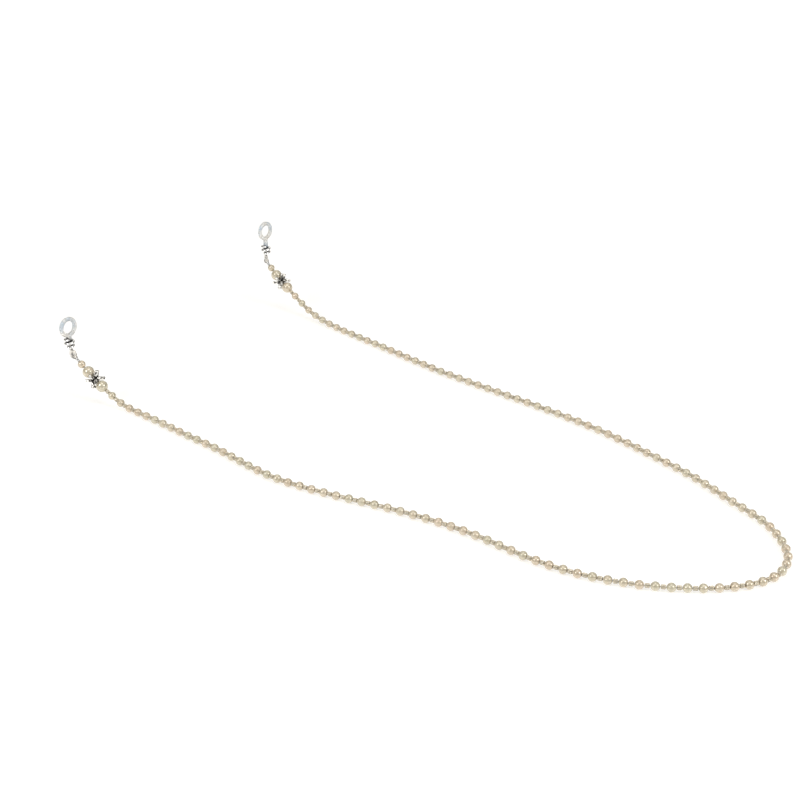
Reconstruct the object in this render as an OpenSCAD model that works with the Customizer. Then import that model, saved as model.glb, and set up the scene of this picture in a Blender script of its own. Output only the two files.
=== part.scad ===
// Beaded eyeglass strap: two silicone temple loops joined by a strand of pearls.
// Origin: centre of the left loop's opening. +X to the wearer's right, +Y along the
// temple arms towards the lenses, +Z up. Millimetres. The strand lies on a flat table.

/* [Layout] */
// Distance between the two loop openings, the width of the glasses at the temple tips
temple_span = 156; // [120:1:190]
// How far the right opening sits ahead of the left one
right_loop_ahead = 13.5; // [-20:0.5:20]
// How much higher the right opening sits than the left one
right_loop_rise = 6.5; // [-5:0.5:10]
// Height of the left opening above the table
loop_height = 37.5; // [32:0.5:60]
// How far the draped strand reaches behind the loops
drape_reach = 359; // [250:1:450]

/* [Silicone loops] */
// Clear opening for the temple arm
loop_opening = 6.2; // [4.5:0.1:9]
// Thickness of the silicone cord
loop_cord_d = 2.2; // [1.6:0.1:2.8]
// Half the spacing of the two cords in the neck
neck_half_gap = 0.4; // [0.2:0.05:0.8]
// Neck below the left loop
left_neck_len = 6.2; // [5.7:0.1:12]
// Neck below the right loop
right_neck_len = 8.8; // [5.7:0.1:14]
// Left eye: how far below the end of the neck its centre is
left_eye_drop = 2.5; // [2:0.1:4]
// Left eye: how far behind the neck its centre is
left_eye_back = 2.2; // [0:0.1:2.6]
// Right eye: how far below the end of the neck its centre is
right_eye_drop = 2.4; // [2:0.1:4]
// Thickness of the ring round each eye
eye_ring_d = 1.7; // [1.2:0.1:2.2]
// Hole in each eye
eye_hole_d = 1.4; // [1.2:0.1:2.4]
// Turn of the right eye about its neck
right_eye_turn = -40; // [-80:1:80]

/* [Coil sleeves] */
// Thickness of the coil's wire, outwards from the neck
coil_wire_t = 1.2; // [0.6:0.05:1.3]
// Height of the coil's wire along the neck
coil_wire_h = 1.5; // [0.6:0.05:1.7]
// Rise of the coil for one turn
coil_pitch = 2.1; // [1.9:0.05:2.4]
// Number of turns
coil_turns = 2.1; // [1.5:0.1:2.4]
// Where the coil's lower end lies, as an angle about the neck
coil_start_angle = 200; // [0:5:355]
// Clearance between coil and neck
coil_clearance = 0.05; // [0.02:0.01:0.2]
// How far the right coil has slid down from its loop
right_coil_drop = 2.7; // [0:0.1:2.8]

/* [Wire ends] */
// Thickness of the beading wire
wire_d = 0.45; // [0.3:0.05:0.6]
// Clearance between the wire ring and the silicone it goes round
bail_clearance = 0.125; // [0.05:0.025:0.2]
// Length of the crimp tube
crimp_len = 1.5; // [1:0.1:2.5]
// Outside diameter of the crimp tube
crimp_d = 1.5; // [1.2:0.1:2]
// Clearance between the wire and the crimp's bore
crimp_clearance = 0.05; // [0.02:0.01:0.1]

/* [Pearls] */
// Diameter of the small pearls and of the lead pearl
small_pearl_d = 4; // [3:0.1:5]
// Diameter of the large pearls
large_pearl_d = 6; // [5:0.1:8]
// Bore of the pearls
pearl_bore_d = 1.1; // [0.9:0.05:1.4]
// Free space between one bead and the next
bead_gap = 0.13; // [0.1:0.01:0.4]

/* [Seed beads] */
// Diameter of the seed beads
seed_d = 2.1; // [1.6:0.1:2.8]
// Length of the seed beads along the wire
seed_len = 2.1; // [1.5:0.1:2.6]
// Bore of the seed beads
seed_bore_d = 0.9; // [0.8:0.05:1.1]

/* [Spacers] */
// Number of arms in each row
arm_count = 6; // [5:1:7]
// Radius at which the ball tips sit
tip_circle_r = 3.75; // [3.3:0.05:5]
// Diameter of the ball tips
tip_d = 1.6; // [1.2:0.1:1.8]
// Distance between the two rows of ball tips
tip_row_gap = 4.4; // [3:0.1:4.8]
// Length of the hub along the wire
hub_len = 3.7; // [3:0.1:4.5]
// Diameter of the hub at its waist
hub_d = 4; // [3.2:0.1:5]
// Diameter of the hub at its two ends
hub_end_d = 2.4; // [2:0.1:3]
// Bore of the hub
hub_bore_d = 1.5; // [1.2:0.1:1.6]
// Free space between the hub and a pearl
hub_gap = 0.1; // [0.05:0.05:0.5]

/* [Hidden] */
$fn = 48;

SILICONE = [0.86, 0.9, 0.92];
SILVER = [0.75, 0.75, 0.76];
OLD_SILVER = [0.6, 0.6, 0.58];
PEARL = [0.93, 0.9, 0.82];
SEED = [0.62, 0.58, 0.52];
WIRE = [0.5, 0.5, 0.5];

section_count = 9;
lengthen = 1;

// Silicone loop; each cord, web and tail is a step thinner than what it runs into
moulding_step = 0.1;
loop_r = (loop_opening + loop_cord_d) / 2;
neck_top = loop_r + loop_cord_d / 2;
neck_cord_d = loop_cord_d - 2 * moulding_step;
eye_r = (eye_hole_d + eye_ring_d) / 2;
tail_overlap = 0.5;
web_t = neck_cord_d - 2 * moulding_step;
tail_top_d = web_t - moulding_step;
tail_end_d = eye_ring_d - 2 * moulding_step;

// Coil sleeve
coil_r = neck_half_gap + neck_cord_d / 2 + coil_clearance + coil_wire_t / 2;
coil_len = coil_pitch * coil_turns + coil_wire_h;
coil_steps_per_turn = 20;
coil_sides = 10;
coil_top_gap = 0.02;

// Placement of the two loops and their eyes
left_open = [0, 0, 0];
right_open = [temple_span, right_loop_ahead, right_loop_rise];
left_eye = left_open - [0, left_eye_back, neck_top + left_neck_len + left_eye_drop];
right_eye = right_open - [0, 0, neck_top + right_neck_len + right_eye_drop];
left_eye_turn = 0;

// Directions in which the strand leaves the two eyes
left_lead_dir = unit([0.2, -0.7, -0.7]);
right_lead_dir = unit([0, -0.72, -0.69]);
left_bail = left_eye + eye_r * in_ring_plane(left_lead_dir, left_eye_turn);
right_bail = right_eye + eye_r * in_ring_plane(right_lead_dir, right_eye_turn);
bail_r = eye_ring_d / 2 + bail_clearance + wire_d / 2;

// Where an arm's middle line leaves the hub
arm_root_r = hub_d / 2 - tip_d / 8;
arm_root_z = tip_row_gap / 6;

// Distances along the strand from each wire ring's centre
crimp_start = bail_r + wire_d / 2;
crimp_mid = crimp_start + crimp_len / 2;
lead_at = crimp_start + crimp_len + bead_gap + small_pearl_d / 2;
upper_at = lead_at + small_pearl_d / 2 + bead_gap + large_pearl_d / 2;
spacer_at = upper_at + large_pearl_d / 2 + hub_gap + hub_len / 2;
lower_at = spacer_at + hub_len / 2 + hub_gap + large_pearl_d / 2;
first_at = lower_at + large_pearl_d / 2 + seed_len + 2 * bead_gap + small_pearl_d / 2;

// Route of the strand: the left lift-off, the table, the right lift-off.
// Across and behind are shares of the span and the reach; down is a share of the drop.
drop = loop_height - small_pearl_d / 2;
base_span = 156;
base_reach = 359;
base_drop = 35.5;
route = [
    [2, -11, -22.5], [3.5, -17.8, -28.2], [4.2, -24.5, -32], [4.3, -32, -34.7],
    [4.2, -41, -35.5], [3.5, -56, -35.5], [1.5, -79, -35.5], [0, -103, -35.5],
    [-3.5, -129, -35.5], [-4, -149, -35.5], [0, -174, -35.5], [6, -200, -35.5],
    [10, -225, -35.5], [11, -248, -35.5], [9.7, -273, -35.5], [12, -296, -35.5],
    [20, -319, -35.5], [33, -339.5, -35.5], [47, -353, -35.5], [62, -359, -35.5],
    [77, -356, -35.5], [90, -345.5, -35.5], [99, -333, -35.5], [106, -315, -35.5],
    [116, -290, -35.5], [123, -264, -35.5], [130, -233, -35.5], [133.5, -203, -35.5],
    [135.5, -168, -35.5], [138, -126, -35.5], [144, -84, -35.5], [148.6, -49, -35.5],
    [152.2, -28.5, -34.4], [154.2, -17, -31.2], [155.4, -6, -25.6], [155.5, 2.8, -20.2]
];
knots = concat(
    [left_bail, left_bail + lead_at * left_lead_dir],
    [for (p = route) [p.x * temple_span / base_span, p.y * drape_reach / base_reach,
                      p.z * drop / base_drop]],
    [right_bail + lead_at * right_lead_dir, right_bail]
);
wire_line = smooth(knots);
stations = [for (i = 0, s = 0; i < len(wire_line);
                 s = s + (i + 1 < len(wire_line) ? norm(wire_line[i + 1] - wire_line[i]) : 0),
                 i = i + 1) s];
along_x = [for (i = [0:len(wire_line) - 1]) [stations[i], wire_line[i].x]];
along_y = [for (i = [0:len(wire_line) - 1]) [stations[i], wire_line[i].y]];
along_z = [for (i = [0:len(wire_line) - 1]) [stations[i], wire_line[i].z]];
strand_len = stations[len(stations) - 1];

// The strand takes as many small pearls as fit, spread evenly
bead_step = small_pearl_d + seed_len + 2 * bead_gap;
strand_room = strand_len - 2 * first_at;
pearl_count = floor(strand_room / bead_step) + 1;
pearl_step = strand_room / (pearl_count - 1);

// ---- helpers ----

function unit(v) = v / norm(v);

// Axis of an eye's ring, turned about the vertical
function ring_axis(turn) = [cos(turn), sin(turn), 0];

// Direction d flattened into the plane of an eye's ring
function in_ring_plane(d, turn) =
    unit(d - (d * ring_axis(turn)) * ring_axis(turn));

// Point halfway along the smooth curve between b and c
function halfway(a, b, c, d) = (9 * (b + c) - a - d) / 16;

// Knots with one smooth point added between each pair
function smooth(k) =
    let (n = len(k))
    concat(
        [for (i = [0:n - 2])
            let (a = i == 0 ? 2 * k[0] - k[1] : k[i - 1],
                 d = i == n - 2 ? 2 * k[n - 1] - k[n - 2] : k[i + 2])
            each [k[i], halfway(a, k[i], k[i + 1], d)]],
        [k[n - 1]]
    );

// Point on the wire's centreline at distance s from the left wire ring
function point_at(s) = [lookup(s, along_x), lookup(s, along_y), lookup(s, along_z)];

// Direction of a bead that covers the wire from s - h to s + h
function dir_at(s, h) = unit(point_at(s + h) - point_at(s - h));

// Centre of that bead
function seat_at(s, h) = (point_at(s + h) + point_at(s - h)) / 2;

// Oval of points round c, square to direction d: a across it and b upwards
function ring_points(c, d, a, b, sides) =
    let (side = unit(cross(d, abs(d.z) > 0.99 ? [1, 0, 0] : [0, 0, 1])),
         up = cross(side, d))
    [for (k = [0:sides - 1])
        c + a * cos(360 * k / sides) * side + b * sin(360 * k / sides) * up];

// Closed tube through rings of points
module skin(rings) {
    sides = len(rings[0]);
    count = len(rings);
    points = [for (ring = rings) each ring];
    walls = [for (i = [0:count - 2]) for (k = [0:sides - 1])
        [i * sides + k, i * sides + (k + 1) % sides,
         (i + 1) * sides + (k + 1) % sides, (i + 1) * sides + k]];
    start_cap = [for (k = [0:sides - 1]) sides - 1 - k];
    end_cap = [for (k = [0:sides - 1]) (count - 1) * sides + k];
    polyhedron(points, concat([start_cap], walls, [end_cap]));
}

// Puts its children at point p with their Z along direction d
module along(p, d) {
    translate(p)
        rotate([0, acos(d.z), atan2(d.y, d.x)])
            children();
}

// ---- shapes ----

// Closed ring of round cord about an axis through its centre
module ring_of_cord(centre, axis, r, d) {
    along(centre, axis)
        rotate_extrude()
            translate([r, 0])
                circle(d = d);
}

// Loop, neck and eye in one moulding; drop and back place the eye below the neck
module silicone_loop(neck_len, eye_drop, eye_back, turn) {
    neck_end = neck_top + neck_len;
    tail_top = [0, 0, -neck_end + tail_overlap];
    eye = [0, -eye_back, -neck_end - eye_drop];
    tail_dir = unit(eye - tail_top);
    ring_of_cord([0, 0, 0], [0, 1, 0], loop_r, loop_cord_d);
    for (side = [-1, 1])
        translate([side * neck_half_gap, 0, -neck_end])
            cylinder(h = neck_end - loop_r, d = neck_cord_d);
    translate([-neck_half_gap, -web_t / 2, -neck_end])
        cube([2 * neck_half_gap, web_t, neck_end - loop_r]);
    along(tail_top, tail_dir)
        cylinder(h = norm(eye - tail_top) - eye_r, d1 = tail_top_d, d2 = tail_end_d);
    ring_of_cord(eye, ring_axis(turn), eye_r, eye_ring_d);
}

// Coil of flattened wire that grips the neck, its top end at z = 0
module coil_sleeve() {
    steps = round(coil_turns * coil_steps_per_turn);
    turn = 360 * coil_turns / steps;
    rise = coil_pitch * coil_turns / steps;
    skin([for (i = [0:steps])
        let (a = coil_start_angle + i * turn,
             c = [coil_r * cos(a), coil_r * sin(a), i * rise - coil_len + coil_wire_h / 2],
             d = unit([-coil_r * sin(a), coil_r * cos(a), coil_pitch / (2 * PI)]))
        ring_points(c, d, coil_wire_t / 2, coil_wire_h / 2, coil_sides)]);
}

// Closed ring of wire round the eye, with its stem into the crimp
module wire_bail(centre, dir, turn) {
    ring_of_cord(centre, unit(cross(ring_axis(turn), dir)), bail_r, wire_d);
    along(centre + bail_r * dir, dir)
        cylinder(h = crimp_mid - bail_r, d = wire_d);
}

module crimp(centre, dir) {
    along(centre + crimp_start * dir, dir)
        difference() {
            cylinder(h = crimp_len, d = crimp_d);
            translate([0, 0, -lengthen])
                cylinder(h = crimp_len + 2 * lengthen, d = wire_d + 2 * crimp_clearance);
        }
}

// Drilled pearl at distance s along the strand
module pearl(s, d) {
    along(seat_at(s, d / 4), dir_at(s, d / 4))
        difference() {
            sphere(d = d);
            cylinder(h = d + 2 * lengthen, d = pearl_bore_d, center = true);
        }
}

// Seed bead: a short tube with rounded ends
module seed(s) {
    edge_d = sqrt(pow(seed_len, 2) + pow(seed_d, 2) / 2);
    along(seat_at(s, seed_len / 4), dir_at(s, seed_len / 4))
        difference() {
            intersection() {
                cylinder(h = seed_len, d = seed_d, center = true);
                sphere(d = edge_d);
            }
            cylinder(h = seed_len + 2 * lengthen, d = seed_bore_d, center = true);
        }
}

// Half section of the spacer's hub, from inner_r outwards
module hub_section(inner_r) {
    polygon([[inner_r, -hub_len / 2], [hub_end_d / 2, -hub_len / 2],
             [hub_d / 2, -arm_root_z], [hub_d / 2, arm_root_z],
             [hub_end_d / 2, hub_len / 2], [inner_r, hub_len / 2]]);
}

// Spacer hub: widest where the arms stand, bored for the wire
module spacer_hub(s) {
    along(seat_at(s, hub_len / 4), dir_at(s, hub_len / 4))
        rotate_extrude()
            hub_section(hub_bore_d / 2);
}

// Spacer arms: two rows of ball-tipped arms, each cut to sit on the hub
module spacer_arms(s) {
    arm = [tip_circle_r - arm_root_r, 0, tip_row_gap / 2 - arm_root_z];
    along(seat_at(s, hub_len / 4), dir_at(s, hub_len / 4))
        for (k = [0:arm_count - 1])
            for (row = [0, 1])
                rotate([0, 0, 360 * k / arm_count])
                    mirror([0, 0, row])
                        difference() {
                            union() {
                                along([arm_root_r, 0, arm_root_z], unit(arm))
                                    cylinder(h = norm(arm), d1 = tip_d * 0.9, d2 = tip_d * 0.65);
                                translate([tip_circle_r, 0, tip_row_gap / 2])
                                    sphere(d = tip_d);
                            }
                            rotate_extrude()
                                hub_section(0);
                        }
}

// First small pearl of section k, counting sections from 0
function section_first(k) = floor(k * pearl_count / section_count);

// Small pearls of one section of the strand
module pearl_section(k) {
    for (i = [section_first(k):section_first(k + 1) - 1])
        pearl(first_at + i * pearl_step, small_pearl_d);
}

// Seed beads of one section, one ahead of each pearl, and the last one at the end
module seed_section(k) {
    last = section_first(k + 1) - (k + 1 < section_count ? 1 : 0);
    before_first = first_at - small_pearl_d / 2 - bead_gap - seed_len / 2;
    after_last = strand_len - before_first;
    for (i = [section_first(k):last]) {
        s = i == 0 ? before_first : first_at + (i - 0.5) * pearl_step;
        seed(i == pearl_count ? after_last : s);
    }
}

// ---- sub-parts ----

module left_silicone_loop() color(SILICONE)
    translate(left_open)
        silicone_loop(left_neck_len, left_eye_drop, left_eye_back, left_eye_turn);

module right_silicone_loop() color(SILICONE)
    translate(right_open)
        silicone_loop(right_neck_len, right_eye_drop, 0, right_eye_turn);

module left_coil_sleeve() color(SILVER)
    translate(left_open - [0, 0, neck_top + coil_top_gap])
        coil_sleeve();

module right_coil_sleeve() color(SILVER)
    translate(right_open - [0, 0, neck_top + coil_top_gap + right_coil_drop])
        coil_sleeve();

module left_wire_bail() color(WIRE) wire_bail(left_bail, left_lead_dir, left_eye_turn);

module right_wire_bail() color(WIRE) wire_bail(right_bail, right_lead_dir, right_eye_turn);

module left_crimp() color(SILVER) crimp(left_bail, left_lead_dir);

module right_crimp() color(SILVER) crimp(right_bail, right_lead_dir);

module left_lead_pearl() color(PEARL) pearl(lead_at, small_pearl_d);

module right_lead_pearl() color(PEARL) pearl(strand_len - lead_at, small_pearl_d);

module left_upper_pearl() color(PEARL) pearl(upper_at, large_pearl_d);

module right_upper_pearl() color(PEARL) pearl(strand_len - upper_at, large_pearl_d);

module left_spacer_hub() color(OLD_SILVER) spacer_hub(spacer_at);

module left_spacer_arms() color(OLD_SILVER) spacer_arms(spacer_at);

module right_spacer_hub() color(OLD_SILVER) spacer_hub(strand_len - spacer_at);

module right_spacer_arms() color(OLD_SILVER) spacer_arms(strand_len - spacer_at);

module left_lower_pearl() color(PEARL) pearl(lower_at, large_pearl_d);

module right_lower_pearl() color(PEARL) pearl(strand_len - lower_at, large_pearl_d);

// Wire through all the beads, from the middle of one crimp to the middle of the other
module bead_wire() color(WIRE) {
    wire_sides = 8;
    last = strand_len - crimp_mid;
    inner = [for (s = stations) if (s > crimp_mid && s < last) s];
    cuts = concat([crimp_mid], inner, [last]);
    count = len(cuts);
    skin([for (i = [0:count - 1])
        let (here = point_at(cuts[i]),
             before = i == 0 ? here : point_at(cuts[i - 1]),
             after = i == count - 1 ? here : point_at(cuts[i + 1]))
        ring_points(here, unit(after - before), wire_d / 2, wire_d / 2, wire_sides)]);
}

module strand_pearls_1() color(PEARL) pearl_section(0);
module strand_pearls_2() color(PEARL) pearl_section(1);
module strand_pearls_3() color(PEARL) pearl_section(2);
module strand_pearls_4() color(PEARL) pearl_section(3);
module strand_pearls_5() color(PEARL) pearl_section(4);
module strand_pearls_6() color(PEARL) pearl_section(5);
module strand_pearls_7() color(PEARL) pearl_section(6);
module strand_pearls_8() color(PEARL) pearl_section(7);
module strand_pearls_9() color(PEARL) pearl_section(8);

module seed_beads_1() color(SEED) seed_section(0);
module seed_beads_2() color(SEED) seed_section(1);
module seed_beads_3() color(SEED) seed_section(2);
module seed_beads_4() color(SEED) seed_section(3);
module seed_beads_5() color(SEED) seed_section(4);
module seed_beads_6() color(SEED) seed_section(5);
module seed_beads_7() color(SEED) seed_section(6);
module seed_beads_8() color(SEED) seed_section(7);
module seed_beads_9() color(SEED) seed_section(8);

left_silicone_loop();
right_silicone_loop();
left_coil_sleeve();
right_coil_sleeve();
left_wire_bail();
right_wire_bail();
left_crimp();
right_crimp();
left_lead_pearl();
right_lead_pearl();
left_upper_pearl();
right_upper_pearl();
left_spacer_hub();
left_spacer_arms();
right_spacer_hub();
right_spacer_arms();
left_lower_pearl();
right_lower_pearl();
bead_wire();
strand_pearls_1();
strand_pearls_2();
strand_pearls_3();
strand_pearls_4();
strand_pearls_5();
strand_pearls_6();
strand_pearls_7();
strand_pearls_8();
strand_pearls_9();
seed_beads_1();
seed_beads_2();
seed_beads_3();
seed_beads_4();
seed_beads_5();
seed_beads_6();
seed_beads_7();
seed_beads_8();
seed_beads_9();
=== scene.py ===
import math
import random

import bmesh
import bpy
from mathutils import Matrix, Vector
from mathutils.bvhtree import BVHTree


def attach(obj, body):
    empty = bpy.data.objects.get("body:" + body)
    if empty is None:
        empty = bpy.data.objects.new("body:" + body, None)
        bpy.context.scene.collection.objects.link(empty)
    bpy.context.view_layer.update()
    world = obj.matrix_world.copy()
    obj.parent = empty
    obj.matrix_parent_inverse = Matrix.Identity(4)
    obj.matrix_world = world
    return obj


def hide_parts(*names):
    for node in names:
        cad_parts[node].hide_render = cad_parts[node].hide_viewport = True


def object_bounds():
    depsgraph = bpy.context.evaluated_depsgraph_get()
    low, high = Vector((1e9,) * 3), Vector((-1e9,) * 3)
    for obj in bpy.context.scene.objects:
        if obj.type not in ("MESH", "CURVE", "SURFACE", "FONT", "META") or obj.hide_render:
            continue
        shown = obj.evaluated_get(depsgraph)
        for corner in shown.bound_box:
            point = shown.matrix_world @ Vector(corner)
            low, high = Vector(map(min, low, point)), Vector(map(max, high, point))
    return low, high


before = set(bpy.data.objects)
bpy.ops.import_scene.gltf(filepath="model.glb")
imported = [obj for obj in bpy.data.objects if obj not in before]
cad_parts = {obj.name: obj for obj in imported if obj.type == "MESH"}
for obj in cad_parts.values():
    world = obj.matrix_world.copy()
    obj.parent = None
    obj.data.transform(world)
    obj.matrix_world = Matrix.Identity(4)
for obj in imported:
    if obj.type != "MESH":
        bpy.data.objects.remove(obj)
CAD_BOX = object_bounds()
rng = random.Random(417)
MM = 0.001

# ---------------------------------------------------------------- camera
cam_data = bpy.data.cameras.new("camera")
cam_data.lens = 72.0
cam_data.sensor_width = 36.0
cam_data.clip_start, cam_data.clip_end = 0.01, 100.0
cam = bpy.data.objects.new("camera", cam_data)
cam.location = (-0.4666, -0.5931, 0.2985)
cam.rotation_euler = (math.radians(65.33), 0.0, math.radians(-50.8))
bpy.context.scene.collection.objects.link(cam)
bpy.context.scene.camera = cam

# ---------------------------------------------------------------- sizes, as in the CAD source (mm)
WIRE_D = 0.45
LOOP_R = 4.2
CORD_D = 2.2
NECK_D = 2.0
NECK_HALF_GAP = 0.4
NECK_TOP = LOOP_R + CORD_D / 2
LEFT_NECK, RIGHT_NECK = 6.2, 8.8
LEFT_EYE_DROP, LEFT_EYE_BACK, RIGHT_EYE_DROP = 2.5, 2.2, 2.4
EYE_RING_D, EYE_HOLE_D = 1.7, 1.4
EYE_R = (EYE_RING_D + EYE_HOLE_D) / 2
LEFT_TURN, RIGHT_TURN = 0.0, -40.0
COIL_WIRE_T, COIL_WIRE_H, COIL_PITCH, COIL_TURNS, COIL_GAP = 1.2, 1.5, 2.1, 2.1, 0.05
COIL_LEN = COIL_PITCH * COIL_TURNS + COIL_WIRE_H
COIL_START = 200
COIL_R = NECK_HALF_GAP + NECK_D / 2 + COIL_GAP + COIL_WIRE_T / 2
COIL_TOP_GAP, RIGHT_COIL_DROP = 0.02, 2.7
SMALL_D, LARGE_D, BORE_D = 4.0, 6.0, 1.1
SEED_D, SEED_LEN, SEED_BORE_D = 2.1, 2.1, 0.9
GAP, HUB_GAP, HUB_LEN = 0.13, 0.1, 3.7
RING_SLACK = 0.125
CRIMP_LEN = 1.5
SECTIONS = 9
SPIN_RANGE = 6.28  # random turn of a bead about the wire, in radians

LEFT_OPEN = Vector((0, 0, 0))
RIGHT_OPEN = Vector((156, 13.5, 6.5))
LEFT_EYE = LEFT_OPEN - Vector((0, LEFT_EYE_BACK, NECK_TOP + LEFT_NECK + LEFT_EYE_DROP))
RIGHT_EYE = RIGHT_OPEN - Vector((0, 0, NECK_TOP + RIGHT_NECK + RIGHT_EYE_DROP))
BAIL_R = EYE_RING_D / 2 + RING_SLACK + WIRE_D / 2


def ring_axis(turn):
    return Vector((math.cos(math.radians(turn)), math.sin(math.radians(turn)), 0))


def in_ring_plane(d, turn):
    n = ring_axis(turn)
    return (d - d.dot(n) * n).normalized()


LEFT_DIR = Vector((0.2, -0.7, -0.7)).normalized()
RIGHT_DIR = Vector((0, -0.72, -0.69)).normalized()
LEFT_BAIL = LEFT_EYE + EYE_R * in_ring_plane(LEFT_DIR, LEFT_TURN)
RIGHT_BAIL = RIGHT_EYE + EYE_R * in_ring_plane(RIGHT_DIR, RIGHT_TURN)

CRIMP_AT = BAIL_R + WIRE_D / 2
CRIMP_MID = CRIMP_AT + CRIMP_LEN / 2
LEAD_AT = CRIMP_AT + CRIMP_LEN + GAP + SMALL_D / 2
UPPER_AT = LEAD_AT + SMALL_D / 2 + GAP + LARGE_D / 2
SPACER_AT = UPPER_AT + LARGE_D / 2 + HUB_GAP + HUB_LEN / 2
LOWER_AT = SPACER_AT + HUB_LEN / 2 + HUB_GAP + LARGE_D / 2
FIRST_AT = LOWER_AT + LARGE_D / 2 + SEED_LEN + 2 * GAP + SMALL_D / 2

# the strand's lay between its two ends, as read from the photo
ROUTE = [
    (2, -11, -22.5), (3.5, -17.8, -28.2), (4.2, -24.5, -32), (4.3, -32, -34.7),
    (4.2, -41, -35.5), (3.5, -56, -35.5), (1.5, -79, -35.5), (0, -103, -35.5),
    (-3.5, -129, -35.5), (-4, -149, -35.5), (0, -174, -35.5), (6, -200, -35.5),
    (10, -225, -35.5), (11, -248, -35.5), (9.7, -273, -35.5), (12, -296, -35.5),
    (20, -319, -35.5), (33, -339.5, -35.5), (47, -353, -35.5), (62, -359, -35.5),
    (77, -356, -35.5), (90, -345.5, -35.5), (99, -333, -35.5), (106, -315, -35.5),
    (116, -290, -35.5), (123, -264, -35.5), (130, -233, -35.5), (133.5, -203, -35.5),
    (135.5, -168, -35.5), (138, -126, -35.5), (144, -84, -35.5), (148.6, -49, -35.5),
    (152.2, -28.5, -34.4), (154.2, -17, -31.2), (155.4, -6, -25.6), (155.5, 2.8, -20.2),
]
KNOTS = (
    [LEFT_BAIL, LEFT_BAIL + LEAD_AT * LEFT_DIR]
    + [Vector(p) for p in ROUTE]
    + [RIGHT_BAIL + LEAD_AT * RIGHT_DIR, RIGHT_BAIL]
)


def smooth(knots):
    """Doubles the knots by four-point subdivision, so the line bends softly."""
    ends = [2 * knots[0] - knots[1]] + knots + [2 * knots[-1] - knots[-2]]
    out = []
    for a, b, c, d in zip(ends, ends[1:], ends[2:], ends[3:]):
        out += [b, (9 * (b + c) - a - d) / 16]
    return out + [knots[-1]]


LINE = smooth(KNOTS)
STATIONS = [0.0]
for p, q in zip(LINE, LINE[1:]):
    STATIONS.append(STATIONS[-1] + (q - p).length)
STRAND_LEN = STATIONS[-1]


def point_at(s):
    """Point at distance s along the strand."""
    for i in range(len(LINE) - 1):
        if s <= STATIONS[i + 1] or i == len(LINE) - 2:
            t = (s - STATIONS[i]) / (STATIONS[i + 1] - STATIONS[i])
            return LINE[i].lerp(LINE[i + 1], t)


def seat(s, h):
    """Centre and direction of a bead that covers the wire from s - h to s + h."""
    a, b = point_at(s - h), point_at(s + h)
    return (a + b) / 2, (b - a).normalized()


BEAD_STEP = SMALL_D + SEED_LEN + 2 * GAP
ROOM = STRAND_LEN - 2 * FIRST_AT
COUNT = math.floor(ROOM / BEAD_STEP) + 1
STEP = ROOM / (COUNT - 1)
FIRST_SEED_AT = FIRST_AT - SMALL_D / 2 - GAP - SEED_LEN / 2


# ---------------------------------------------------------------- mesh helpers
def frame_of(d):
    """Two unit directions square to d, and d itself."""
    side = d.cross(Vector((1, 0, 0)) if abs(d.z) > 0.99 else Vector((0, 0, 1))).normalized()
    return side, side.cross(d), d


class Build:
    """Vertices, faces and one tone per vertex, in mm, made into a mesh in metres."""

    def __init__(self):
        self.verts, self.faces, self.tones = [], [], []

    def rings(self, rings, tone=0.5, closed=False):
        """Joins equal rings of points, and caps the two ends unless the last meets the first."""
        base, n, count = len(self.verts), len(rings[0]), len(rings)
        for ring in rings:
            self.verts += ring
            self.tones += [tone] * n
        for i in range(count if closed else count - 1):
            j = (i + 1) % count
            for k in range(n):
                m = (k + 1) % n
                low, high = base + i * n, base + j * n
                self.faces.append((low + k, low + m, high + m, high + k))
        if not closed:
            self.faces.append(tuple(base + k for k in reversed(range(n))))
            self.faces.append(tuple(base + (count - 1) * n + k for k in range(n)))

    def tube(self, points, radii, sides, tone=0.5, closed=False, flat=1.0, across=None):
        """Tube along points; flat scales its section along the second side direction."""
        count = len(points)
        radii = radii if isinstance(radii, (list, tuple)) else [radii] * count
        rings, up = [], None
        for i, p in enumerate(points):
            a = points[i - 1] if i or closed else p
            b = points[(i + 1) % count] if i + 1 < count or closed else p
            d = (b - a).normalized()
            if up is None:
                up = (across.cross(d) if across else frame_of(d)[1]).normalized()
            up = (up - up.dot(d) * d).normalized()
            side = d.cross(up)
            rings.append([
                p + radii[i] * (math.cos(2 * math.pi * k / sides) * side
                                + flat * math.sin(2 * math.pi * k / sides) * up)
                for k in range(sides)
            ])
        self.rings(rings, tone, closed)

    def lathe(self, profile, centre, d, segments, tone=0.5, spin=0.0):
        """Turns a closed outline of (radius, along) points about direction d through centre."""
        side, up, d = frame_of(d)
        rings = []
        for k in range(segments):
            a = spin + 2 * math.pi * k / segments
            out = math.cos(a) * side + math.sin(a) * up
            rings.append([centre + r * out + z * d for r, z in profile])
        base, n = len(self.verts), len(profile)
        for ring in rings:
            self.verts += ring
            self.tones += [tone] * n
        for i in range(segments):
            j = (i + 1) % segments
            low, high = base + i * n, base + j * n
            for k in range(n):
                m = (k + 1) % n
                self.faces.append((low + k, high + k, high + m, low + m))

    def mesh(self, name):
        mesh = bpy.data.meshes.new(name)
        mesh.from_pydata([v * MM for v in self.verts], [], self.faces)
        tone = mesh.attributes.new("tone", "FLOAT", "POINT")
        tone.data.foreach_set("value", self.tones)
        tidy_normals(mesh)
        return mesh

    def make(self, name, body, slot, replaces=()):
        return place(name, self.mesh(name), body, replaces)


def tidy_normals(mesh):
    """Points all faces outward and shades them smooth."""
    bm = bmesh.new()
    bm.from_mesh(mesh)
    bmesh.ops.recalc_face_normals(bm, faces=bm.faces)
    bm.to_mesh(mesh)
    bm.free()
    for poly in mesh.polygons:
        poly.use_smooth = True


def place(name, mesh, body, replaces=()):
    obj = bpy.data.objects.new(name, mesh)
    bpy.context.scene.collection.objects.link(obj)
    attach(obj, body)
    if replaces:
        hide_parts(*replaces)
    return obj


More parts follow.
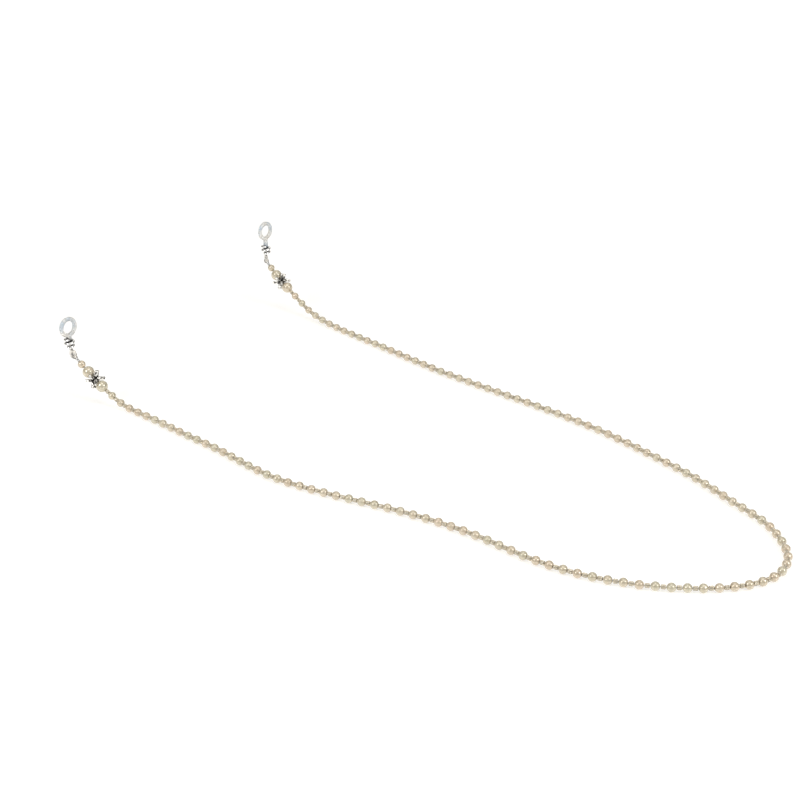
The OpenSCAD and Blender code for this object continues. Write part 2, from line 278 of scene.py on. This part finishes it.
def cast(build, voxel, passes):
    """One blended skin over the build's overlapping closed forms, as a mesh in metres."""
    tmp = bpy.data.objects.new("cast_tmp", build.mesh("cast"))
    bpy.context.scene.collection.objects.link(tmp)
    mod = tmp.modifiers.new("remesh", "REMESH")
    mod.mode = "VOXEL"
    mod.voxel_size = voxel * MM
    soft = tmp.modifiers.new("soften", "SMOOTH")
    soft.factor, soft.iterations = 0.5, passes
    bpy.context.view_layer.update()
    solid = tmp.evaluated_get(bpy.context.evaluated_depsgraph_get())
    done = bpy.data.meshes.new_from_object(solid)
    bpy.data.objects.remove(tmp)
    for poly in done.polygons:
        poly.use_smooth = True
    return done


def sky(count):
    """Even directions over the whole sphere."""
    out = []
    for i in range(count):
        z = 1 - (2 * i + 1) / count
        a = i * math.pi * (3 - math.sqrt(5))
        r = math.sqrt(1 - z * z)
        out.append(Vector((r * math.cos(a), r * math.sin(a), z)))
    return out


LIFT = 0.02  # how far off the surface a ray starts, in mm
GRAZING = 0.1  # rays flatter to the surface than this don't count


def mark_hollows(mesh, reach, count, others=()):
    """Writes how covered each vertex is within reach, in mm, from 0 open to 1 covered."""
    bm = bmesh.new()
    bm.from_mesh(mesh)
    for other in others:
        bm.from_mesh(other)
    tree = BVHTree.FromBMesh(bm)
    bm.free()
    dirs = sky(count)
    values = []
    for v in mesh.vertices:
        n, hit, seen = v.normal, 0, 0
        start = v.co + n * LIFT * MM
        for d in dirs:
            if n.dot(d) > GRAZING:
                seen += 1
                if tree.ray_cast(start, d, reach * MM)[0] is not None:
                    hit += 1
        values.append(hit / max(seen, 1))
    layer = mesh.attributes.new("hollow", "FLOAT", "POINT")
    layer.data.foreach_set("value", values)


# ---------------------------------------------------------------- materials
class Shader:
    """A node material with a few short ways to add and join nodes."""

    def __init__(self, name):
        self.mat = bpy.data.materials.new(name)
        self.mat.use_nodes = True
        self.tree = self.mat.node_tree
        self.bsdf = self.tree.nodes["Principled BSDF"]
        coord = self.tree.nodes.new("ShaderNodeTexCoord")
        self.where = coord.outputs["Object"]

    def set(self, **values):
        for key, value in values.items():
            self.bsdf.inputs[key.replace("_", " ")].default_value = value
        return self

    def link(self, a, b):
        self.tree.links.new(a, b)

    def noise(self, scale, detail=3.0, roughness=0.5):
        n = self.tree.nodes.new("ShaderNodeTexNoise")
        n.inputs["Scale"].default_value = scale
        n.inputs["Detail"].default_value = detail
        n.inputs["Roughness"].default_value = roughness
        self.link(self.where, n.inputs["Vector"])
        return n.outputs["Fac"]

    def attribute(self, name):
        n = self.tree.nodes.new("ShaderNodeAttribute")
        n.attribute_name = name
        return n.outputs["Fac"]

    def ramp(self, value, *stops):
        n = self.tree.nodes.new("ShaderNodeValToRGB")
        for i, (at, color) in enumerate(stops):
            e = n.color_ramp.elements[i] if i < 2 else n.color_ramp.elements.new(at)
            e.position = at
            e.color = (*color, 1)
        self.link(value, n.inputs["Fac"])
        return n.outputs["Color"]

    def range(self, value, low, high, to_low, to_high):
        n = self.tree.nodes.new("ShaderNodeMapRange")
        for key, v in zip(("From Min", "From Max", "To Min", "To Max"), (low, high, to_low, to_high)):
            n.inputs[key].default_value = v
        self.link(value, n.inputs["Value"])
        return n.outputs["Result"]

    def mix(self, fac, a, b, how="MIX"):
        n = self.tree.nodes.new("ShaderNodeMix")
        n.data_type = "RGBA"
        n.blend_type = how
        for key, v in (("Factor", fac), ("A", a), ("B", b)):
            kind = "VALUE" if key == "Factor" else "RGBA"
            socket = next(s for s in n.inputs if s.name == key and s.type == kind)
            if isinstance(v, (int, float)):
                socket.default_value = v
            elif isinstance(v, tuple):
                socket.default_value = (*v, 1)
            else:
                self.link(v, socket)
        return next(s for s in n.outputs if s.type == "RGBA")

    def bump(self, height, strength, distance):
        n = self.tree.nodes.new("ShaderNodeBump")
        n.inputs["Strength"].default_value = strength
        n.inputs["Distance"].default_value = distance
        self.link(height, n.inputs["Height"])
        self.link(n.outputs["Normal"], self.bsdf.inputs["Normal"])
        return self

    def into(self, key, value):
        self.link(value, self.bsdf.inputs[key])
        return self


def pearl_material():
    s = Shader("pearl_lustre")
    body = s.ramp(s.noise(260, 2), (0.3, (0.65, 0.58, 0.45)), (0.7, (0.72, 0.65, 0.525)))
    rose, cream, green = (1.0, 0.93, 0.88), (1.0, 0.98, 0.94), (0.95, 0.97, 0.92)
    tint = s.ramp(s.attribute("tone"), (0.0, rose), (0.5, cream), (1.0, green))
    s.into("Base Color", s.mix(1.0, body, tint, "MULTIPLY"))
    s.into("Roughness", s.range(s.noise(500, 2), 0.3, 0.7, 0.15, 0.22))
    s.set(Metallic=0.24, Coat_Weight=1.0, Coat_Roughness=0.04, Coat_IOR=1.65, IOR=1.55,
          Subsurface_Weight=0.1, Subsurface_Scale=0.0008)
    s.bsdf.inputs["Subsurface Radius"].default_value = (1.0, 0.7, 0.5)
    s.bump(s.noise(600, 2), 0.05, 0.00002)
    return s.mat


def glass_material():
    s = Shader("seed_glass")
    deep, light = (0.88, 0.80, 0.64), (0.96, 0.89, 0.76)
    s.into("Base Color", s.ramp(s.noise(600, 2), (0.3, deep), (0.7, light)))
    s.into("Roughness", s.range(s.noise(1400, 2), 0.3, 0.7, 0.03, 0.12))
    s.set(Transmission_Weight=0.62, IOR=1.5)
    s.bump(s.noise(800, 2), 0.1, 0.00005)
    return s.mat


# near-black tube in each seed bead's bore, seen through the glass
def dark_core_material():
    s = Shader("seed_dark_core")
    deep, light = (0.03, 0.022, 0.015), (0.12, 0.095, 0.065)
    s.into("Base Color", s.ramp(s.noise(900, 3), (0.35, deep), (0.65, light)))
    s.into("Roughness", s.range(s.noise(1800, 2), 0.3, 0.7, 0.25, 0.5))
    s.set(Metallic=0.9)
    return s.mat


def silicone_material():
    s = Shader("silicone")
    blue = s.ramp(s.noise(150, 2), (0.42, (0.66, 0.73, 0.80)), (0.58, (0.92, 0.90, 0.86)))
    height = s.tree.nodes.new("ShaderNodeSeparateXYZ")
    s.link(s.where, height.inputs[0])
    warm_below, blue_above = -0.0085, -0.003
    low_end = s.range(height.outputs["Z"], warm_below, blue_above, 1.0, 0.0)
    clear = s.mix(low_end, blue, (0.90, 0.87, 0.82))
    # painted shade: the silicone goes near black where the coil and its own folds cover it
    inside = s.ramp(s.attribute("hollow"), (0.2, (0, 0, 0)), (0.5, (1, 1, 1)))
    s.into("Base Color", s.mix(inside, clear, (0.06, 0.06, 0.06)))
    s.into("Roughness", s.range(s.noise(1500, 3), 0.3, 0.7, 0.24, 0.40))
    s.set(Transmission_Weight=0.55, IOR=1.41, Subsurface_Weight=0.4, Subsurface_Scale=0.0015)
    s.bsdf.inputs["Subsurface Radius"].default_value = (1.0, 0.95, 0.9)
    s.bump(s.noise(2200, 3), 0.12, 0.00003)
    return s.mat


def plated_material(name, bright, dull, dark, near, far, rough, worn=(0.3, 0.7)):
    """Bright metal with dull patches, dark where its hollows pass from near to far: oxidised patina on
    the antique spacer, painted shade on the coil and the crimp.
    """
    s = Shader(name)
    hollow = s.attribute("hollow")
    metal = s.ramp(s.noise(800, 4), (worn[0], dull), (worn[1], bright))
    # mask of the dark hollows: oxidised patina on the spacer, painted shade on the coil and the crimp
    patina_and_shade = s.ramp(hollow, (near, (0, 0, 0)), (far, (1, 1, 1)))
    s.into("Base Color", s.mix(patina_and_shade, metal, dark))
    s.into("Roughness", s.range(hollow, near, far, rough, 0.55))
    s.set(Metallic=1.0)
    s.bump(s.noise(1600, 3), 0.1, 0.00004)
    return s.mat


def wire_material():
    s = Shader("beading_wire")
    s.into("Base Color", s.ramp(s.noise(1500, 3), (0.3, (0.30, 0.29, 0.28)), (0.7, (0.52, 0.51, 0.49))))
    s.into("Roughness", s.range(s.noise(3000, 2), 0.3, 0.7, 0.25, 0.45))
    s.set(Metallic=0.95)
    s.bump(s.noise(4000, 2), 0.3, 0.00003)
    return s.mat


PEARL = pearl_material()
GLASS = glass_material()
DARK_CORE = dark_core_material()
SILICONE = silicone_material()
# near-black for covered hollows: the spacer's oxidised patina, and painted shade on the coil
DARK_PATINA_AND_SHADE = (0.012, 0.011, 0.01)
# painted shade: the coil wire goes near black on its inner side and in the gaps between turns, where
# the neck and the other turns cover it
COIL = plated_material(
    "bright_coil", bright=(0.93, 0.93, 0.93), dull=(0.85, 0.85, 0.85), dark=DARK_PATINA_AND_SHADE,
    near=0.46, far=0.62, rough=0.24,
)
SPACER = plated_material(
    "antique_silver", bright=(0.95, 0.94, 0.91), dull=(0.10, 0.095, 0.085), dark=DARK_PATINA_AND_SHADE,
    near=0.22, far=0.44, rough=0.16, worn=(0.40, 0.50),
)
# painted shade: the crimp goes dark inside its bore and at its pinched waist, where its own walls cover
# it
CRIMP = plated_material(
    "crimp_metal", bright=(0.62, 0.62, 0.62), dull=(0.45, 0.45, 0.45), dark=(0.06, 0.06, 0.06),
    near=0.35, far=0.7, rough=0.28,
)
WIRE = wire_material()


def paint(obj, mat):
    obj.data.materials.clear()
    obj.data.materials.append(mat)
    return obj


# ---------------------------------------------------------------- the wire through the beads
def make_bead_wire():
    first, last = CRIMP_MID, STRAND_LEN - CRIMP_MID
    cuts = [first] + [s for s in STATIONS if first < s < last] + [last]
    points = [point_at(s) * MM for s in cuts]
    curve = bpy.data.curves.new("beading_wire", "CURVE")
    curve.dimensions = "3D"
    # a small point radius keeps the curve's own box tight, and the bevel makes up for it
    curve.bevel_depth = WIRE_D / 2
    curve.bevel_resolution = 3
    curve.use_fill_caps = True
    spline = curve.splines.new("POLY")
    spline.points.add(len(points) - 1)
    for p, co in zip(spline.points, points):
        p.co = (*co, 1)
        p.radius = MM
    obj = bpy.data.objects.new("beading_wire", curve)
    bpy.context.scene.collection.objects.link(obj)
    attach(obj, "strand")
    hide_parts("bead_wire")
    paint(obj, WIRE)
    return obj, points[0], last - first


beading_wire, wire_exit, wire_len = make_bead_wire()


# ---------------------------------------------------------------- pearls
PEARL_SPREAD = 0.012  # how far a pearl may fall short of its nominal size


def pearl_profile(d):
    """Half section of a drilled pearl: bore, worn rim, round outside."""
    r, bore, lip, steps = d / 2, BORE_D / 2, 0.09, 22
    rim_z = math.sqrt(r * r - (bore + lip) ** 2)
    # radius past the bore, and depth below the rim
    edge = [(0, 0.5), (0, 0.12), (0.3 * lip, 0.03), (lip, 0)]
    out = [(bore + dr, -rim_z + dz) for dr, dz in edge]
    low = math.asin((bore + lip) / r)
    for i in range(1, steps):
        a = low + (math.pi - 2 * low) * i / steps
        out.append((r * math.sin(a), -r * math.cos(a)))
    return out + [(bore + dr, rim_z - dz) for dr, dz in reversed(edge)]


def add_pearl(build, s, d):
    centre, along = seat(s, d / 4)
    size = d * (1 - PEARL_SPREAD * rng.random())
    build.lathe(pearl_profile(size), centre, along, 36, rng.random(), rng.random() * SPIN_RANGE)


def section_first(k):
    return k * COUNT // SECTIONS


for k in range(SECTIONS):
    pearls = Build()
    for i in range(section_first(k), section_first(k + 1)):
        add_pearl(pearls, FIRST_AT + i * STEP, SMALL_D)
    paint(pearls.make(f"pearls_{k + 1}", "strand", "pearl", [f"strand_pearls_{k + 1}"]), PEARL)

for side, flip in (("left", False), ("right", True)):
    for which, at, d in (
        ("lead", LEAD_AT, SMALL_D), ("upper", UPPER_AT, LARGE_D), ("lower", LOWER_AT, LARGE_D),
    ):
        one = Build()
        add_pearl(one, STRAND_LEN - at if flip else at, d)
        bead = f"{side}_{which}_bead"
        paint(one.make(bead, bead, "pearl", [f"{side}_{which}_pearl"]), PEARL)


# ---------------------------------------------------------------- seed beads
def seed_profile():
    """Half section of a tumbled seed bead, thick round ends."""
    bore, out_r, half = SEED_BORE_D / 2, SEED_D / 2, SEED_LEN / 2
    lip, round_r, round_z, steps = 0.08, 0.42, 0.5, 8
    out = [
        (bore, 0), (bore, half - 0.3), (bore + lip * 0.4, half - 0.1), (bore + lip * 1.6, half - 0.01),
    ]
    for i in range(1, steps + 1):
        a = math.pi / 2 * i / steps
        out.append((out_r - round_r + round_r * math.sin(a), half - round_z + round_z * math.cos(a)))
    out.append((out_r, 0))
    return out + [(r, -z) for r, z in reversed(out[1:-1])]


def dark_core_profile():
    """Half section of the dark tube that shows through a seed bead."""
    r0, r1, half = SEED_BORE_D / 2 - 0.13, SEED_BORE_D / 2 - 0.04, 0.4
    return [(r0, -half), (r1, -half), (r1, half), (r0, half)]


def seed_at(i):
    """Distance along the strand of seed bead i; the first and last stand by the large pearls."""
    if i == 0:
        return FIRST_SEED_AT
    if i == COUNT:
        return STRAND_LEN - FIRST_SEED_AT
    return FIRST_AT + (i - 0.5) * STEP


for k in range(SECTIONS):
    glass, dark_core = Build(), Build()
    last = section_first(k + 1) - (1 if k + 1 < SECTIONS else 0)
    for i in range(section_first(k), last + 1):
        centre, along = seat(seed_at(i), SEED_LEN / 4)
        tone, spin = rng.random(), rng.random() * SPIN_RANGE
        glass.lathe(seed_profile(), centre, along, 24, tone, spin)
        dark_core.lathe(dark_core_profile(), centre, along, 20, tone, spin)
    paint(glass.make(f"seeds_{k + 1}", "strand", "seed", [f"seed_beads_{k + 1}"]), GLASS)
    paint(dark_core.make(f"seed_dark_cores_{k + 1}", "strand", "seed"), DARK_CORE)


# ---------------------------------------------------------------- silicone loops
def arc(centre, r, a0, a1, steps):
    """Points in the XZ plane about centre, from angle a0 to a1 in degrees."""
    angles = [math.radians(a0 + (a1 - a0) * i / steps) for i in range(steps + 1)]
    return [centre + Vector((r * math.cos(a), 0, r * math.sin(a))) for a in angles]


def silicone_mesh(centre, neck_len, eye, turn):
    """Loop, two-legged neck, tail and eye ring, cast in one skin."""
    neck_end = NECK_TOP + neck_len
    g, bend, foot, taper, leg_steps = NECK_HALF_GAP, 1.5, 0.3, 1.5, 14
    web_r, web_foot, web_head = 0.82, 0.25, 0.6
    tail_r, tail_thinning, tail_overlap, tail_steps, ring_steps = 0.95, 0.2, 0.9, 8, 40
    h = math.sqrt((LOOP_R + bend) ** 2 - (g + bend) ** 2)
    phi = math.degrees(math.asin((g + bend) / (LOOP_R + bend)))
    b = Build()
    leg = [
        Vector((g, 0, -neck_end + foot + (neck_end - h - foot) * i / leg_steps))
        for i in range(leg_steps + 1)
    ]
    turn_in = arc(Vector((g + bend, 0, -h)), bend, 180, 90 + phi, 8)[1:]
    big = arc(Vector((0, 0, 0)), LOOP_R, phi - 90, 270 - phi, 72)[1:-1]
    mirrored = [Vector((-p.x, p.y, p.z)) for p in reversed(leg + turn_in)]
    path = leg + turn_in + big + mirrored
    radii = [
        NECK_D / 2 + (CORD_D - NECK_D) / 2 * min(1, max(0, (p.z + NECK_TOP) / taper)) for p in path
    ]
    b.tube([centre + p for p in path], radii, 20)
    web = [centre + Vector((0, 0, z)) for z in (-neck_end + web_foot, -h - web_head)]
    b.tube(web, web_r, 16)
    top = centre + Vector((0, 0, -neck_end + tail_overlap))
    parts = [i / tail_steps for i in range(tail_steps + 1)]
    tail = [top.lerp(eye, t * (1 - EYE_R / (eye - top).length)) for t in parts]
    b.tube(tail, [tail_r - tail_thinning * t for t in parts], 16)
    side, up, axis = frame_of(ring_axis(turn))
    angles = [2 * math.pi * i / ring_steps for i in range(ring_steps)]
    ring = [eye + EYE_R * (math.cos(a) * side + math.sin(a) * up) for a in angles]
    b.tube(ring, EYE_RING_D / 2, 16, closed=True, across=axis)
    return cast(b, voxel=0.15, passes=6)


# ---------------------------------------------------------------- coil sleeves
# how far each coil's top end is below the middle of its loop's opening
COIL_TOPS = {
    "left": NECK_TOP + COIL_TOP_GAP,
    "right": NECK_TOP + COIL_TOP_GAP + RIGHT_COIL_DROP,
}


def coil_mesh(top, neck_mesh):
    """Helix of oval wire that hangs from top, with rounded ends."""
    steps = 34
    total = round(COIL_TURNS * steps)
    points = []
    for i in range(total + 1):
        a = math.radians(COIL_START) + 2 * math.pi * i / steps
        z = i / steps * COIL_PITCH - COIL_LEN + COIL_WIRE_H / 2
        points.append(top + Vector((COIL_R * math.cos(a), COIL_R * math.sin(a), z)))
    ends = [0.80, 0.93, 0.98]
    shares = ends + [1] * (total + 1 - 2 * len(ends)) + ends[::-1]
    b = Build()
    out = Vector((points[0].x - top.x, points[0].y - top.y, 0))
    b.tube(points, [COIL_WIRE_T / 2 * share for share in shares], 24,
           across=out, flat=COIL_WIRE_H / COIL_WIRE_T)
    mesh = b.mesh("coil")
    # coverage by the neck and the other turns, which drives the coil's painted shade
    mark_hollows(mesh, reach=2.5, count=48, others=[neck_mesh])
    return mesh


for side, centre, neck, eye, turn in (
    ("left", LEFT_OPEN, LEFT_NECK, LEFT_EYE, LEFT_TURN),
    ("right", RIGHT_OPEN, RIGHT_NECK, RIGHT_EYE, RIGHT_TURN),
):
    silicone = silicone_mesh(centre, neck, eye, turn)
    coil = coil_mesh(centre - Vector((0, 0, COIL_TOPS[side])), silicone)
    # coverage by the coil and the silicone's own folds, which drives the silicone's painted shade
    mark_hollows(silicone, reach=1.6, count=20, others=[coil])
    paint(place(f"{side}_silicone", silicone, f"{side}_loop",
                [f"{side}_silicone_loop"]), SILICONE)
    paint(place(f"{side}_coil_wire", coil, f"{side}_coil",
                [f"{side}_coil_sleeve"]), COIL)


# ---------------------------------------------------------------- spacers
ARMS = 6


def spacer_mesh():
    """Grooved hub with two rows of arms that end in balls, about Z."""
    b = Build()
    half, zero, up = HUB_LEN / 2, Vector((0, 0, 0)), Vector((0, 0, 1))
    lower = [(0.75, -half), (1.12, -half), (1.2, -half + 0.08), (1.35, -1.35), (1.75, -0.85),
             (1.95, -0.45), (1.7, -0.16)]
    hub = lower + [(1.55, 0)] + [(r, -z) for r, z in reversed(lower)]
    b.lathe(hub, zero, up, 48)
    root_r, tip_r, root_z, tip_z, curl = 1.45, 3.75, 0.55, 2.2, 1.4
    thick, thinning, belly, arm_flat = 0.95, 0.42, 0.12, 0.8
    ball_r, ball_steps, arm_steps = 0.8, 12, 8
    ball = [
        (ball_r * math.sin(math.pi * j / ball_steps), -ball_r * math.cos(math.pi * j / ball_steps))
        for j in range(ball_steps + 1)
    ]
    ball[0], ball[-1] = (0.01, -ball_r), (0.01, ball_r)
    for k in range(ARMS):
        a = math.radians(360 / ARMS * k)
        out = Vector((math.cos(a), math.sin(a), 0))
        across = Vector((-math.sin(a), math.cos(a), 0))
        for row in (-1, 1):
            path, radii = [], []
            for i in range(arm_steps + 1):
                t = i / arm_steps
                r = root_r + (tip_r - root_r) * t
                z = row * (root_z + (tip_z - root_z) * t ** curl)
                path.append(out * r + up * z)
                radii.append(thick - thinning * t + belly * math.sin(math.pi * t))
            b.tube(path, radii, 16, flat=arm_flat, across=across)
            b.lathe(ball, out * tip_r + up * (row * tip_z), up, 16)
    mesh = cast(b, voxel=0.11, passes=3)
    mark_hollows(mesh, reach=3.0, count=40)
    return mesh


SPACER_MESH = spacer_mesh()
for side, s in (("left", SPACER_AT), ("right", STRAND_LEN - SPACER_AT)):
    centre, along = seat(s, HUB_LEN / 4)
    # turns the mesh from Z onto the wire, first about Y and then about Z
    mesh = SPACER_MESH.copy()
    tilt, head = math.acos(along.z), math.atan2(along.y, along.x)
    ct, st, ch, sh = math.cos(tilt), math.sin(tilt), math.cos(head), math.sin(head)
    for v in mesh.vertices:
        x, y, z = v.co
        x, z = x * ct + z * st, -x * st + z * ct
        v.co = (x * ch - y * sh + centre.x * MM, x * sh + y * ch + centre.y * MM, z + centre.z * MM)
    paint(place(f"{side}_spacer_cast", mesh, f"{side}_spacer",
                [f"{side}_spacer_hub", f"{side}_spacer_arms"]), SPACER)


# ---------------------------------------------------------------- wire rings and crimps
def across_of(d, turn):
    """The eye ring's axis with its share along d taken out, as a unit direction."""
    n = ring_axis(turn)
    return (n - n.dot(d) * d).normalized()


def bail_mesh(centre, d, turn):
    """Ring of wire through the eye, whose two ends run side by side into the crimp."""
    across = across_of(d, turn)
    lean, opening, mouth, shrink, steps = 0.23, 0.35, 0.1, 0.98, 40
    a0 = math.asin(lean / BAIL_R) + opening
    tail = [(CRIMP_MID, lean), (CRIMP_AT + mouth, lean)]
    pts = [centre + d * along + across * out for along, out in tail]
    for i in range(steps + 1):
        a = a0 + (2 * math.pi - 2 * a0) * i / steps
        pts.append(centre + BAIL_R * (math.cos(a) * d + math.sin(a) * across))
    pts += [centre + d * along - across * out for along, out in reversed(tail)]
    b = Build()
    b.tube(pts, WIRE_D / 2 * shrink, 12, across=d.cross(across))
    return b


def crimp_mesh(centre, d, turn):
    """Short tube pressed flat round its two wires."""
    across = across_of(d, turn)
    thick = d.cross(across)
    mid, sides, pinch_depth, pinch_width = CRIMP_LEN / 2, 28, 0.28, 0.32
    # (along, radius), up the outside and back down the inside
    profile = [
        (0.0, 0.70), (0.04, 0.74), (0.3, 0.75), (0.55, 0.66), (0.75, 0.62), (0.95, 0.66),
        (1.2, 0.75), (1.46, 0.74), (1.5, 0.70), (1.46, 0.56), (0.75, 0.44), (0.04, 0.56),
    ]
    rings = []
    for z, r in profile:
        pinch = 1 - pinch_depth * math.exp(-((z - mid) / pinch_width) ** 2)
        angles = [2 * math.pi * k / sides for k in range(sides)]
        rings.append([
            centre + d * (CRIMP_AT + z) + across * (r * math.cos(a)) + thick * (r * pinch * math.sin(a))
            for a in angles
        ])
    b = Build()
    b.rings(rings, closed=True)
    return b


for side, centre, d, turn in (
    ("left", LEFT_BAIL, LEFT_DIR, LEFT_TURN),
    ("right", RIGHT_BAIL, RIGHT_DIR, RIGHT_TURN),
):
    ring = bail_mesh(centre, d, turn)
    paint(ring.make(f"{side}_wire_ring", "strand", "wire", [f"{side}_wire_bail"]), WIRE)
    tube = crimp_mesh(centre, d, turn).make(f"{side}_crimp_tube", "strand", "wire", [f"{side}_crimp"])
    # coverage by the tube's own walls, which drives the crimp's painted shade
    mark_hollows(tube.data, reach=1.5, count=32)
    paint(tube, CRIMP)


# ---------------------------------------------------------------- floor and light
FLOOR_Z = CAD_BOX[0].z
FLOOR_HALF = 30
MIDDLE = Vector((0.075, -0.17, FLOOR_Z))
CORNERS = [(x * FLOOR_HALF, y * FLOOR_HALF, FLOOR_Z) for x, y in ((-1, -1), (1, -1), (1, 1), (-1, 1))]
floor_mesh = bpy.data.meshes.new("floor")
floor_mesh.from_pydata(CORNERS, [], [(0, 1, 2, 3)])
floor = bpy.data.objects.new("floor", floor_mesh)
bpy.context.scene.collection.objects.link(floor)
pale = Shader("pale_floor")
pale.set(Base_Color=(0.60, 0.595, 0.58, 1), Roughness=0.25, IOR=1.35,
         Emission_Color=(1.0, 0.995, 0.985, 1))
# the glow grows with the distance from the strap, so the far floor meets the white background
away = pale.tree.nodes.new("ShaderNodeVectorMath")
away.operation = "DISTANCE"
away.inputs[1].default_value = MIDDLE
pale.link(pale.where, away.inputs[0])
pale.into("Emission Strength", pale.range(away.outputs["Value"], 0.1, 1.0, 0.57, 0.82))
# the floor can be seen through from below
clear = pale.tree.nodes.new("ShaderNodeBsdfTransparent")
back = pale.tree.nodes.new("ShaderNodeNewGeometry")
choose = pale.tree.nodes.new("ShaderNodeMixShader")
out = pale.tree.nodes["Material Output"]
pale.link(back.outputs["Backfacing"], choose.inputs[0])
pale.link(pale.bsdf.outputs[0], choose.inputs[1])
pale.link(clear.outputs[0], choose.inputs[2])
pale.link(choose.outputs[0], out.inputs["Surface"])
paint(floor, pale.mat)

# dim, warm sky for the light and the reflections, white behind the floor
world = bpy.data.worlds.new("studio")
bpy.context.scene.world = world
world.use_nodes = True
wt = world.node_tree
bg = wt.nodes["Background"]
sky_way = wt.nodes.new("ShaderNodeTexCoord")
sky_split = wt.nodes.new("ShaderNodeSeparateXYZ")
sky_ramp = wt.nodes.new("ShaderNodeValToRGB")
sky_ramp.color_ramp.elements[0].color = (0.10, 0.095, 0.085, 1)
sky_ramp.color_ramp.elements[1].color = (0.52, 0.50, 0.46, 1)
wt.links.new(sky_way.outputs["Generated"], sky_split.inputs[0])
wt.links.new(sky_split.outputs["Z"], sky_ramp.inputs["Fac"])
wt.links.new(sky_ramp.outputs["Color"], bg.inputs["Color"])
bg.inputs["Strength"].default_value = 1.0
white = wt.nodes.new("ShaderNodeBackground")
white.inputs["Color"].default_value = (1, 1, 1, 1)
white.inputs["Strength"].default_value = 1.1
path = wt.nodes.new("ShaderNodeLightPath")
pick = wt.nodes.new("ShaderNodeMixShader")
wt.links.new(path.outputs["Is Camera Ray"], pick.inputs[0])
wt.links.new(bg.outputs[0], pick.inputs[1])
wt.links.new(white.outputs[0], pick.inputs[2])
wt.links.new(pick.outputs[0], wt.nodes["World Output"].inputs["Surface"])


def softbox(name, heading, rise, far, size, power):
    """Area light that faces the strap's middle, from an angle round it and one above it in degrees."""
    data = bpy.data.lights.new(name, "AREA")
    data.shape = "RECTANGLE"
    data.size, data.size_y = size
    data.energy = power
    h, e = math.radians(heading), math.radians(rise)
    back = Vector((math.cos(h) * math.cos(e), math.sin(h) * math.cos(e), math.sin(e)))
    obj = bpy.data.objects.new(name, data)
    obj.location = MIDDLE + back * far
    obj.rotation_mode = "QUATERNION"
    obj.rotation_quaternion = (-back).to_track_quat("-Z", "Y")
    bpy.context.scene.collection.objects.link(obj)


softbox("side_left", 163, 34, 1.1, (0.34, 0.42), 3.6)
softbox("side_right", 275, 34, 1.1, (0.34, 0.42), 3.8)
softbox("overhead", 219, 84, 1.1, (0.7, 0.7), 2.4)
softbox("behind", 39, 35, 1.3, (0.8, 0.4), 1.0)

bpy.context.scene.view_settings.view_transform = "Standard"
bpy.context.scene.view_settings.look = "None"
